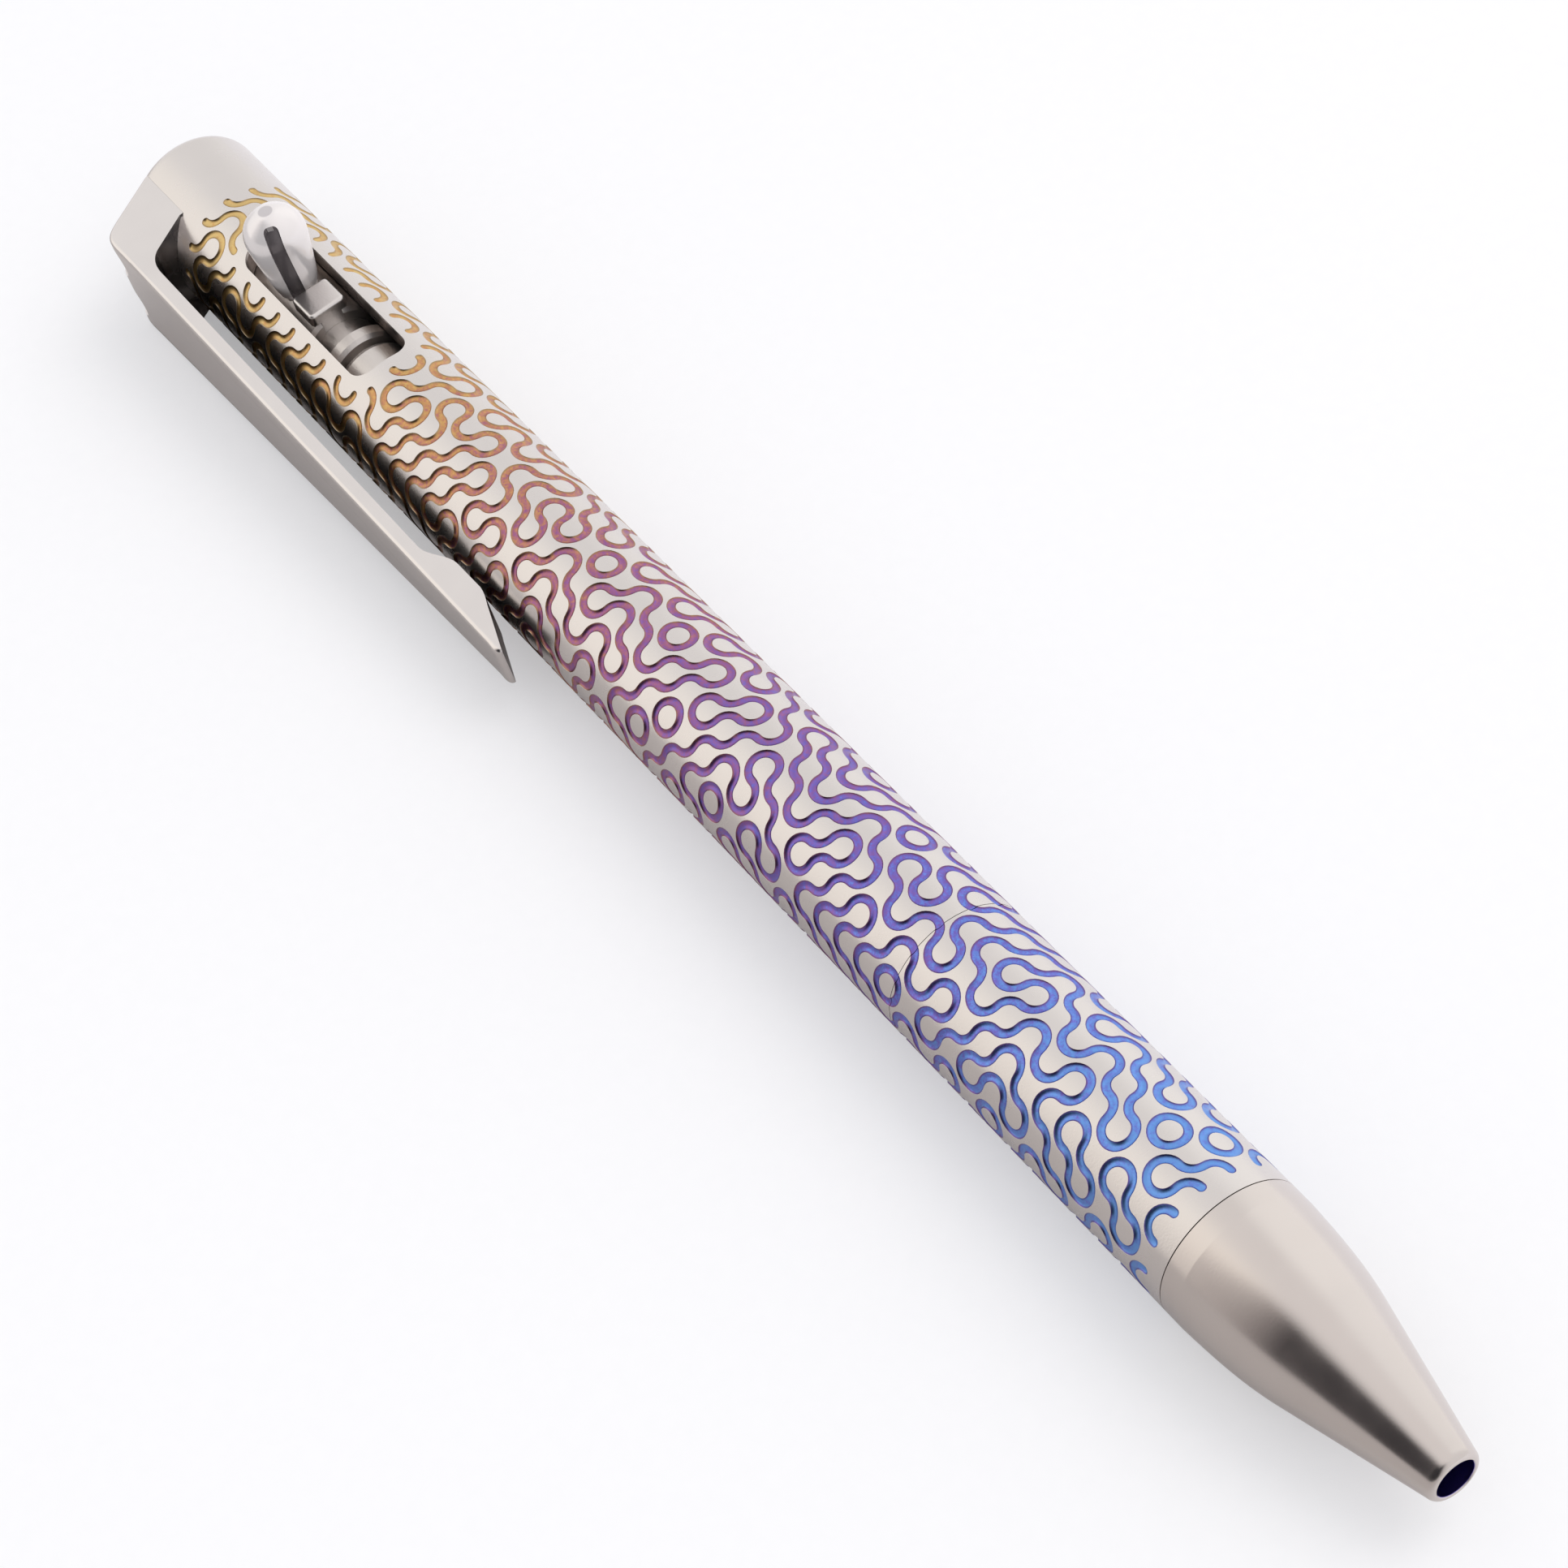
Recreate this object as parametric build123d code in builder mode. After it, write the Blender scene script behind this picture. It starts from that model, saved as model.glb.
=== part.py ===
"""Click pen with a sliding side knob: titanium barrels, clip, carrier, refill and return spring.

The pen lies at rest with its axis along X and its nose toward +X.
Z = 0 is the table under it, and the origin is the bottom centre of the whole pen.
Lengths are in millimetres. Stations run along the pen from the nose joint toward the tail.
Every piece leaves one named fit clearance round the piece it runs or sits in.
"""
import math
import os

from build123d import *

os.makedirs("parts", exist_ok=True)

# ---- driving sizes ----
barrel_radius = 4.75
refill_length = 98.1
refill_radius = 2.95
joint_station = 24.4
window_width = 4.16
bolt_travel = 6.8
clip_length = 45.65

# ---- fits ----
running_gap = 0.05
seat_gap = 0.01
thread_gap = 0.02
refill_clearance = 0.25

# ---- nose cone: stations run negative from the joint to the tip ----
nose_tip_station = -18.1
nose_straight = 1.4
nose_shoulder_station = -8.1
nose_shoulder_drop = 0.77
nose_rim_station = -17.6
nose_rim_radius = 1.76
nose_tip_radius = 1.5
nose_bore_radius = 1.25
nose_joint_length = 7.0
spring_pocket_radius = 2.15
refill_slip = 0.07

# ---- refill ----
point_draw_in = 4.0
refill_wall = 0.33
refill_shoulder = -1.6
refill_chamber_end = refill_shoulder - bolt_travel - 0.6
spring_seat_station = refill_chamber_end - 3.8
tip_ball_radius = 0.35
refill_point = nose_tip_station + point_draw_in
refill_rear = refill_point + refill_length
refill_bore = refill_radius - refill_wall
housing_end = refill_point + 0.22

# ---- bores and joints of the barrels ----
bore_radius = refill_radius + refill_clearance
joint_length = 8.6
spigot_wall = 0.65
spigot_radius = bore_radius + spigot_wall
relief_length = 0.5
tail_fillet = 1.0
seam_chamfer = 0.06
ring_wire_radius = 0.18
ring_groove_depth = 0.38
ring_groove_length = 0.9
ring_groove_rear = 2.0
ring_station = ring_groove_rear - ring_groove_length / 2

# ---- sliding bolt, from its pusher backward ----
pusher_front = refill_rear
pusher_rear = pusher_front + 4.8
pusher_radius = refill_radius - 0.1
collar_front = pusher_rear + 0.3
collar_rear = collar_front + 1.3
body_front = collar_rear + 2.0
knob_station = body_front + 4.5
detent_station = body_front + 8.2
carrier_rear = body_front + 10.2
collar_radius = bore_radius - running_gap
waist_radius = collar_radius - 0.85
key_length = 2.6
key_width = window_width - 1.36
key_tongue = 1.6
key_top = collar_radius + 0.85
key_seat = collar_radius - 1.25
detent_ball_radius = 0.75
detent_ball_gap = 0.02
detent_ball_centre = bore_radius - detent_ball_gap - detent_ball_radius
detent_spring_wire = 0.15
detent_spring_foot = 0.6

# ---- knob: distances are from the pen axis ----
knob_top = barrel_radius + 5.08
knob_flat_radius = 0.57
knob_radius = 2.11
knob_base_radius = 1.45
knob_waist_height = barrel_radius
knob_waist_radius = window_width / 2 - 0.36
knob_seat = collar_radius - 0.25
knob_thread_radius = 0.8

# ---- window, clip and tail ----
window_front = body_front - bolt_travel - 0.8
window_rear = knob_station + 3.6
window_corner = 1.3
clip_root_front = window_rear + 7.0
clip_root_rear = clip_root_front + 5.1
clip_tip_station = clip_root_front - clip_length
tail_station = clip_root_rear + 0.6
clip_root_half = barrel_radius - 0.71
clip_tip_half = 1.7
clip_inner_root = barrel_radius + 1.65
clip_inner_tip = barrel_radius + 1.45
clip_outer_root = clip_inner_root + 1.15
clip_outer_tip = clip_inner_tip + 0.9
foot_rise_station = clip_tip_station + 10.25
foot_rear_station = clip_tip_station + 7.55
foot_front_station = clip_tip_station + 4.95
foot_height = barrel_radius + 0.3
clip_edge = 0.3
clip_screw_station = clip_root_front + 2.0
clip_screw_spread = clip_root_half - 2.04
clip_screw_radius = 0.8
clip_head_radius = 1.27
clip_head_seat = barrel_radius + 0.35

# ---- lie of the pen: it rests on the barrel and on the lower corner of the clip's root ----
corner_reach = math.hypot(clip_outer_root - clip_edge, clip_root_half)
corner_angle = math.atan2(clip_root_half, clip_outer_root - clip_edge)
roll_angle = math.asin(barrel_radius / corner_reach) - corner_angle - math.radians(0.08)
clip_reach = clip_outer_root * math.cos(roll_angle) + clip_root_half * math.sin(roll_angle)
nose_seam_x = (tail_station + nose_tip_station) / 2
clip_direction = (0, -math.cos(roll_angle), -math.sin(roll_angle))
slot_direction = (0, -math.sin(roll_angle), math.cos(roll_angle))
axis_point = (0, (clip_reach - barrel_radius) / 2, barrel_radius)
pen_axis = Axis(axis_point, (1, 0, 0))


def at(station):
    """X of a station measured from the nose joint toward the tail."""
    return nose_seam_x - station


def toward(direction, distance, station):
    """Point at a station, moved off the axis by a distance in a direction."""
    return (
        at(station),
        axis_point[1] + direction[1] * distance,
        axis_point[2] + direction[2] * distance,
    )


# Half sections are drawn as (X, radius) on this plane and turned about the pen axis.
section_plane = Plane(origin=axis_point, x_dir=(1, 0, 0), z_dir=clip_direction)
# The clip's side view: X to the right, away from the clip upward.
side_plane = Plane(origin=axis_point, x_dir=(1, 0, 0), z_dir=slot_direction)


def facing(direction, distance, station):
    """Plane square to a radial direction, its X along the pen."""
    return Plane(origin=toward(direction, distance, station), x_dir=(1, 0, 0), z_dir=direction)


def cross_section(station):
    """Plane square to the pen axis, facing the nose, with its Y toward the slot."""
    return Plane(
        origin=toward(slot_direction, 0, station),
        x_dir=tuple(-value for value in clip_direction),
        z_dir=(1, 0, 0),
    )


def turned(stations_and_radii):
    """Turn a closed half section, given as station and radius pairs, about the pen axis."""
    with BuildSketch(section_plane) as half_section:
        with BuildLine():
            Polyline(*[(at(station), radius) for station, radius in stations_and_radii], close=True)
        make_face()
    revolve(half_section.sketch, axis=pen_axis)


def bored(front, rear, radius):
    """Cut a round bore between two stations."""
    with BuildSketch(cross_section(rear)) as opening:
        Circle(radius)
    extrude(opening.sketch, amount=rear - front, mode=Mode.SUBTRACT)


def save(builder, name):
    """Name a finished piece and write it out."""
    builder.part.label = name
    export_step(builder.part, "parts/" + name + ".step")


# ---- rear barrel: closed tail, knob window, clip screw holes ----
with BuildPart() as rear_barrel:
    with BuildSketch(cross_section(tail_station)):
        Circle(barrel_radius)
    extrude(amount=tail_station - joint_station)
    fillet(rear_barrel.edges().sort_by(Axis.X)[0], radius=tail_fillet)
    chamfer(rear_barrel.edges().sort_by(Axis.X)[-1], length=seam_chamfer)
    bored(joint_station, carrier_rear + running_gap, bore_radius)
    bored(joint_station, joint_station + joint_length + relief_length, spigot_radius + thread_gap)
    # ring grooves that catch the detent ball at both ends of the travel
    for groove_station in (detent_station, detent_station - bolt_travel):
        with BuildSketch(section_plane):
            with BuildLine():
                Polyline(
                    (at(groove_station - 0.5), bore_radius - 0.1),
                    (at(groove_station - 0.2), bore_radius + 0.15),
                    (at(groove_station + 0.2), bore_radius + 0.15),
                    (at(groove_station + 0.5), bore_radius - 0.1),
                    close=True,
                )
            make_face()
        revolve(axis=pen_axis, mode=Mode.SUBTRACT)
    with BuildSketch(facing(slot_direction, 0, (window_front + window_rear) / 2)):
        RectangleRounded(window_rear - window_front, window_width, window_corner)
    extrude(amount=barrel_radius + 1, mode=Mode.SUBTRACT)
    for side in (-1, 1):
        with BuildSketch(facing(clip_direction, barrel_radius + 0.5, clip_screw_station)):
            with Locations((0, side * clip_screw_spread)):
                Circle(clip_screw_radius + thread_gap)
        extrude(amount=-(barrel_radius + 0.5 - 1.3), mode=Mode.SUBTRACT)
save(rear_barrel, "rear_barrel")

# ---- front barrel: the grip, with a threaded spigot at its back ----
with BuildPart() as front_barrel:
    with BuildSketch(cross_section(joint_station)):
        Circle(barrel_radius)
    extrude(amount=joint_station)
    rims = front_barrel.edges().filter_by(GeomType.CIRCLE)
    chamfer(rims, length=seam_chamfer)
    with BuildSketch(cross_section(joint_station + joint_length)):
        Circle(spigot_radius)
    extrude(amount=joint_length)
    chamfer(front_barrel.edges().sort_by(Axis.X)[0], length=0.3)
    bored(0, joint_station + joint_length, bore_radius - 0.1)
    bored(0, nose_joint_length + relief_length, spigot_radius + thread_gap)
    # groove for the sealing ring just behind the shoulder
    with BuildSketch(cross_section(joint_station + ring_groove_rear)):
        Circle(spigot_radius + 0.2)
        Circle(spigot_radius - ring_groove_depth, mode=Mode.SUBTRACT)
    extrude(amount=ring_groove_length, mode=Mode.SUBTRACT)
save(front_barrel, "front_barrel")

# ---- nose cone: ogive, refill chamber, spring seat and writing hole ----
with BuildPart() as nose_cone:
    nose_shoulder_radius = barrel_radius - nose_shoulder_drop
    slope = (nose_shoulder_radius - nose_rim_radius) / (nose_shoulder_station - nose_rim_station)
    with BuildSketch(section_plane):
        with BuildLine():
            Polyline(
                (at(0), 0),
                (at(0), barrel_radius - seam_chamfer),
                (at(-seam_chamfer), barrel_radius),
                (at(-nose_straight), barrel_radius),
            )
            Spline(
                (at(-nose_straight), barrel_radius),
                (at(nose_shoulder_station), nose_shoulder_radius),
                tangents=((1, 0), (1, -slope)),
            )
            Line(
                (at(nose_shoulder_station), nose_shoulder_radius),
                (at(nose_rim_station), nose_rim_radius),
            )
            Spline(
                (at(nose_rim_station), nose_rim_radius),
                (at(nose_tip_station), nose_tip_radius - 0.12),
                tangents=((1, -slope), (0, -1)),
            )
            Polyline(
                (at(nose_tip_station), nose_tip_radius - 0.12),
                (at(nose_tip_station), 0),
                (at(0), 0),
            )
        make_face()
    revolve(axis=pen_axis)
    with BuildSketch(cross_section(nose_joint_length)):
        Circle(spigot_radius)
    extrude(amount=nose_joint_length)
    chamfer(nose_cone.edges().sort_by(Axis.X)[0], length=0.3)
    bored(nose_tip_station, 0, nose_bore_radius)
    bored(spring_seat_station, 0, spring_pocket_radius)
    bored(refill_chamber_end, nose_joint_length, refill_radius + refill_slip)
    with BuildSketch(cross_section(ring_groove_rear)):
        Circle(spigot_radius + 0.2)
        Circle(spigot_radius - ring_groove_depth, mode=Mode.SUBTRACT)
    extrude(amount=ring_groove_length, mode=Mode.SUBTRACT)
save(nose_cone, "nose_cone")


def sealing_ring(station):
    """Rubber ring lying in the groove of a threaded spigot."""
    with BuildSketch(section_plane) as ring_section:
        ring_mean = spigot_radius - ring_groove_depth + thread_gap + ring_wire_radius
        with Locations((at(station), ring_mean)):
            Circle(ring_wire_radius)
    revolve(ring_section.sketch, axis=pen_axis)


with BuildPart() as barrel_o_ring:
    sealing_ring(joint_station + ring_station)
save(barrel_o_ring, "barrel_o_ring")

with BuildPart() as nose_o_ring:
    sealing_ring(ring_station)
save(nose_o_ring, "nose_o_ring")

# ---- clip: saddle root, sprung arm and ramped foot, cut from one bar ----
with BuildPart() as clip:
    with BuildSketch(side_plane):
        with BuildLine():
            inner_back = (at(clip_root_front - 3.4), -clip_inner_root)
            Polyline(
                (at(clip_root_rear), -2.4),
                (at(clip_root_rear), -2.8),
                (at(clip_root_rear - 2.0), -(clip_outer_root - 1.35)),
            )
            Spline(
                (at(clip_root_rear - 2.0), -(clip_outer_root - 1.35)),
                (at(clip_root_rear - 2.55), -(clip_outer_root - 0.55)),
                (at(clip_root_front - 1.0), -clip_outer_root),
                tangents=((0.52, -0.85), (1, 0)),
            )
            Line((at(clip_root_front - 1.0), -clip_outer_root), (at(clip_tip_station + 1.4), -clip_outer_tip))
            Spline(
                (at(clip_tip_station + 1.4), -clip_outer_tip),
                (at(clip_tip_station), -(clip_outer_tip - 0.35)),
                tangents=((1, 0.01), (0.1, 1)),
            )
            Line(
                (at(clip_tip_station), -(clip_outer_tip - 0.35)),
                (at(foot_front_station - 1.4), -(foot_height + 0.42)),
            )
            Spline(
                (at(foot_front_station - 1.4), -(foot_height + 0.42)),
                (at(foot_front_station), -foot_height),
                tangents=((-1, 0.42), (-1, 0.1)),
            )
            Line((at(foot_front_station), -foot_height), (at(foot_rear_station), -(foot_height + 0.05)))
            Spline(
                (at(foot_rear_station), -(foot_height + 0.05)),
                (at(foot_rise_station), -clip_inner_tip),
                tangents=((-1, -0.1), (-1, -0.15)),
            )
            Line((at(foot_rise_station), -clip_inner_tip), inner_back)
            Spline(
                inner_back,
                (at(clip_root_front - 1.5), -(clip_inner_root - 0.95)),
                tangents=((-1, 0.02), (-0.5, 0.86)),
            )
            Polyline(
                (at(clip_root_front - 1.5), -(clip_inner_root - 0.95)),
                (at(clip_root_front), -2.8),
                (at(clip_root_front), -2.4),
                (at(clip_root_rear), -2.4),
            )
        make_face()
    extrude(amount=clip_root_half, both=True)
    with BuildSketch(facing(clip_direction, 0, 0)):
        with BuildLine():
            Polyline(
                (-clip_root_rear - 0.5, -clip_root_half),
                (-clip_root_front, -clip_root_half),
                (-clip_tip_station + 0.01, -clip_tip_half),
                (-clip_tip_station + 0.01, clip_tip_half),
                (-clip_root_front, clip_root_half),
                (-clip_root_rear - 0.5, clip_root_half),
                close=True,
            )
        make_face()
    extrude(amount=clip_outer_root + 2, mode=Mode.INTERSECT)
    outer_edges = clip.edges().filter_by(
        lambda edge: abs((edge.center() - Vector(*axis_point)).dot(Vector(*slot_direction))) > 1.0
        and (edge.center() - Vector(*axis_point)).dot(Vector(*clip_direction)) > clip_outer_tip - 0.2
    )
    fillet(outer_edges, radius=clip_edge)
    with BuildSketch(cross_section(clip_root_rear + 1)):
        Circle(barrel_radius + seat_gap)
    extrude(amount=clip_root_rear - clip_root_front + 4, mode=Mode.SUBTRACT)
    for side in (-1, 1):
        with BuildSketch(facing(clip_direction, 3.0, clip_screw_station)):
            with Locations((0, side * clip_screw_spread)):
                Circle(clip_screw_radius + 0.1)
        extrude(amount=6, mode=Mode.SUBTRACT)
        with BuildSketch(facing(clip_direction, clip_head_seat, clip_screw_station)):
            with Locations((0, side * clip_screw_spread)):
                Circle(clip_head_radius + running_gap)
        extrude(amount=4, mode=Mode.SUBTRACT)
save(clip, "clip")


def clip_screw(side):
    """Small socket-head screw that holds the clip root to the barrel."""
    with BuildSketch(facing(clip_direction, clip_head_seat, clip_screw_station)) as head:
        with Locations((0, side * clip_screw_spread)):
            Circle(clip_head_radius)
    extrude(head.sketch, amount=1.2)
    with BuildSketch(facing(clip_direction, clip_head_seat, clip_screw_station)) as shank:
        with Locations((0, side * clip_screw_spread)):
            Circle(clip_screw_radius)
    extrude(shank.sketch, amount=-3.6)
    with BuildSketch(facing(clip_direction, clip_head_seat + 1.2, clip_screw_station)) as socket:
        with Locations((0, side * clip_screw_spread)):
            RegularPolygon(0.72, 6)
    extrude(socket.sketch, amount=-0.8, mode=Mode.SUBTRACT)


with BuildPart() as clip_screw_upper:
    clip_screw(1)
save(clip_screw_upper, "clip_screw_upper")

with BuildPart() as clip_screw_lower:
    clip_screw(-1)
save(clip_screw_lower, "clip_screw_lower")

# ---- carrier: the slide inside the barrel that carries the knob ----
with BuildPart() as bolt_carrier:
    turned(
        (
            (collar_front, 0),
            (collar_front, collar_radius - 0.25),
            (collar_front + 0.25, collar_radius),
            (collar_rear - 0.25, collar_radius),
            (collar_rear, collar_radius - 0.25),
            (collar_rear, waist_radius),
            (body_front, waist_radius),
            (body_front, collar_radius - 0.25),
            (body_front + 0.25, collar_radius),
            (carrier_rear - 0.4, collar_radius),
            (carrier_rear, collar_radius - 0.4),
            (carrier_rear, 0),
        )
    )
    # socket for the pusher
    bored(collar_front, collar_front + 2.1, 1.0 + seat_gap)
    # slot that holds the guide key
    with BuildSketch(facing(slot_direction, key_seat, body_front + key_length / 2)):
        Rectangle(key_length + 2 * seat_gap, key_tongue + 2 * seat_gap)
    extrude(amount=2, mode=Mode.SUBTRACT)
    # flat and threaded hole for the knob
    with BuildSketch(facing(slot_direction, knob_seat, knob_station)):
        Circle(knob_base_radius + 0.1)
    extrude(amount=2, mode=Mode.SUBTRACT)
    with BuildSketch(facing(slot_direction, 0.9, knob_station)):
        Circle(knob_thread_radius + thread_gap)
    extrude(amount=4, mode=Mode.SUBTRACT)
    # blind hole for the detent, on the side away from the window
    with BuildSketch(facing(slot_direction, -detent_spring_foot, detent_station)):
        Circle(detent_ball_radius + running_gap)
    extrude(amount=-4, mode=Mode.SUBTRACT)
save(bolt_carrier, "bolt_carrier")

# ---- guide key: rounded block that runs in the window ahead of the knob ----
with BuildPart() as bolt_key:
    with BuildSketch(facing(slot_direction, collar_radius + seat_gap, body_front + key_length / 2)):
        RectangleRounded(key_length, key_width, 0.35)
    extrude(amount=key_top - collar_radius - seat_gap)
    fillet(bolt_key.faces().sort_by(Axis.Z)[-1].edges(), radius=0.25)
    with BuildSketch(facing(slot_direction, collar_radius + seat_gap, body_front + key_length / 2)):
        Rectangle(key_length, key_tongue)
    extrude(amount=-(collar_radius - key_seat))
save(bolt_key, "bolt_key")

# ---- pusher: rounded plug that bears on the back of the refill ----
with BuildPart() as bolt_pusher:
    turned(
        (
            (pusher_front, 0),
            (pusher_front, pusher_radius - 0.2),
            (pusher_front + 0.2, pusher_radius),
            (pusher_rear - 0.5, pusher_radius),
            (pusher_rear - 0.15, pusher_radius - 0.15),
            (pusher_rear, pusher_radius - 0.5),
            (pusher_rear, waist_radius - 0.2),
            (collar_front, waist_radius - 0.2),
            (collar_front, 1.0),
            (collar_front + 2.0, 1.0),
            (collar_front + 2.0, 0),
        )
    )
save(bolt_pusher, "bolt_pusher")

# ---- knob: polished bullet handle screwed into the carrier ----
with BuildPart() as bolt_knob:
    knob_plane = Plane(
        origin=toward(slot_direction, 0, knob_station),
        x_dir=(1, 0, 0),
        z_dir=clip_direction,
    )
    with BuildSketch(knob_plane):
        with BuildLine():
            Line((0, knob_top), (knob_flat_radius, knob_top))
            Spline(
                (knob_flat_radius, knob_top),
                (knob_radius * 0.8, knob_top - 0.85),
                (knob_radius, knob_top - 2.1),
                (knob_waist_radius, knob_waist_height),
                (knob_base_radius, knob_seat + 0.3),
                tangents=((1, -0.25), (-0.25, -1)),
            )
            Polyline(
                (knob_base_radius, knob_seat + 0.3),
                (knob_base_radius - 0.1, knob_seat),
                (knob_thread_radius, knob_seat),
                (knob_thread_radius, 1.1),
                (knob_thread_radius - 0.2, 0.95),
                (0, 0.95),
                (0, knob_top),
            )
        make_face()
    revolve(axis=Axis(toward(slot_direction, 0, knob_station), slot_direction))
save(bolt_knob, "bolt_knob")

# ---- detent: spring and ball pressing into the grooves of the bore ----
with BuildPart() as detent_ball:
    with Locations(toward(slot_direction, -detent_ball_centre, detent_station)):
        Sphere(detent_ball_radius)
save(detent_ball, "detent_ball")

with BuildPart() as detent_spring:
    detent_spring_top = -detent_spring_foot - detent_spring_wire - seat_gap
    detent_spring_base = -(detent_ball_centre - detent_ball_radius - detent_spring_wire - seat_gap)
    with BuildLine():
        coil = Helix(
            pitch=0.4,
            height=abs(detent_spring_base - detent_spring_top),
            radius=0.55,
            center=toward(slot_direction, detent_spring_top, detent_station),
            direction=tuple(-value for value in slot_direction),
        )
    with BuildSketch(Plane(origin=coil @ 0, z_dir=coil % 0)):
        Circle(detent_spring_wire)
    sweep(path=coil)
save(detent_spring, "detent_spring")

# ---- refill: metal tube, plug, tip, ball and ink ----
with BuildPart() as refill_tube:
    tube_front = refill_shoulder + 0.6
    tube_rear = refill_rear - 2.5
    with BuildSketch(cross_section(tube_rear)):
        Circle(refill_radius)
        Circle(refill_bore, mode=Mode.SUBTRACT)
    extrude(amount=tube_rear - tube_front)
save(refill_tube, "refill_tube")

with BuildPart() as refill_end_plug:
    turned(
        (
            (refill_rear, 0.5),
            (refill_rear, refill_radius - 0.3),
            (refill_rear - 0.3, refill_radius),
            (tube_rear, refill_radius),
            (tube_rear, refill_bore - seat_gap),
            (tube_rear - 4.7, refill_bore - seat_gap),
            (tube_rear - 5.0, refill_bore - 0.3),
            (tube_rear - 5.0, 0.5),
        )
    )
    with BuildSketch(cross_section(refill_rear)):
        with PolarLocations(refill_radius, 6):
            Rectangle(1.4, 0.6)
    extrude(amount=1.6, mode=Mode.SUBTRACT)
save(refill_end_plug, "refill_end_plug")

with BuildPart() as refill_tip:
    turned(
        (
            (tube_front + 5.0, 0.5),
            (tube_front + 5.0, refill_bore - 0.3),
            (tube_front + 4.7, refill_bore - seat_gap),
            (tube_front, refill_bore - seat_gap),
            (tube_front, refill_radius),
            (refill_shoulder + 0.2, refill_radius),
            (refill_shoulder, refill_radius - 0.2),
            (refill_shoulder, 1.5),
            (refill_shoulder - 3.8, 1.5),
            (refill_shoulder - 4.4, 1.15),
            (refill_point + 1.7, 1.15),
            (housing_end, 0.43),
            (housing_end, tip_ball_radius - 0.01),
            (housing_end + 0.08, tip_ball_radius + running_gap / 2),
            (refill_point + 2 * tip_ball_radius, tip_ball_radius + running_gap / 2),
            (refill_point + 2 * tip_ball_radius + 0.1, 0.25),
            (refill_point + 1.5, 0.25),
            (refill_point + 1.6, 0.5),
        )
    )
save(refill_tip, "refill_tip")

# writing ball, held by the rolled lip of the tip
with BuildPart() as refill_ball:
    with Locations(toward(slot_direction, 0, refill_point + tip_ball_radius)):
        Sphere(tip_ball_radius)
save(refill_ball, "refill_ball")

with BuildPart() as refill_ink:
    ink_front = tube_front + 5.0 + 0.02
    with BuildSketch(cross_section(62.0)):
        Circle(refill_bore - 0.02)
    extrude(amount=62.0 - ink_front)
save(refill_ink, "refill_ink")

# ---- return spring between the nose seat and the refill shoulder ----
with BuildPart() as return_spring:
    spring_wire = 0.2
    spring_mean = 1.85
    spring_length = refill_shoulder - spring_seat_station - 2 * spring_wire - 0.02
    with BuildLine():
        coil = Helix(
            pitch=spring_length / 8,
            height=spring_length,
            radius=spring_mean,
            center=toward(slot_direction, 0, refill_shoulder - spring_wire - 0.01),
            direction=(1, 0, 0),
        )
    with BuildSketch(Plane(origin=coil @ 0, z_dir=coil % 0)):
        Circle(spring_wire)
    sweep(path=coil)
save(return_spring, "return_spring")
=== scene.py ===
import math
import random

import bmesh
import bpy
from mathutils import Matrix, Vector


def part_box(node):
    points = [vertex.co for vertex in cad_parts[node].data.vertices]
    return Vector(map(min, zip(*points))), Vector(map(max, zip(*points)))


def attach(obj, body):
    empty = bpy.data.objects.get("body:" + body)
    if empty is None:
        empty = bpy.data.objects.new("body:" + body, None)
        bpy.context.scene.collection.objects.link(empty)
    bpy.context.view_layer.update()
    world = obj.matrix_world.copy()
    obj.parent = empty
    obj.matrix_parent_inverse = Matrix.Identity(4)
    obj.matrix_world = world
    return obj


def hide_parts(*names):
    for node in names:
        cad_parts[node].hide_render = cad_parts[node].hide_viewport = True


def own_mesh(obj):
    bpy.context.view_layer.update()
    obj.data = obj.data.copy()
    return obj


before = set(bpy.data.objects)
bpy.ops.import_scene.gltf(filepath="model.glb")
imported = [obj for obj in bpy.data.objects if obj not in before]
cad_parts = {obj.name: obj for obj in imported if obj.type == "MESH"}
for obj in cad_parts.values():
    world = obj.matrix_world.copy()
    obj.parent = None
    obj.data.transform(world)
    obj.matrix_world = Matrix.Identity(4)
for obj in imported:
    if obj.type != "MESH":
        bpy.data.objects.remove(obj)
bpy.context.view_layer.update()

# Slide-action ballpoint pen: titanium barrels with an anodised wave engraving, clip, knob, nose and
# refill. Every new piece is modelled in millimetres in the pen's own frame: X runs toward the nose with
# 0 at the nose joint, Z points up through the knob's window and the clip is on the -Y side. Seating a
# finished piece turns it into metres and lays it where the pen rests.

# ---------------------------------------------------------------------------------------------
# Camera and table. The pen is seen from above its nose, on plain pale paper. In reflections the
# paper carries a painted shade, darker on the clip side.
# ---------------------------------------------------------------------------------------------
MM = 0.001
camera_data = bpy.data.cameras.new("camera")
camera_data.sensor_width = 36
camera_data.lens = 97.285
camera_data.clip_start = 0.01
camera_data.clip_end = 20
camera = bpy.data.objects.new("camera", camera_data)
camera.location = (0.151783, -0.068023, 0.193930)
camera.rotation_euler = [math.radians(turn) for turn in (39.989336, 7.994476, 55.032425)]
bpy.context.scene.collection.objects.link(camera)
bpy.context.scene.camera = camera
bpy.context.scene.view_settings.view_transform = "Standard"

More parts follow.
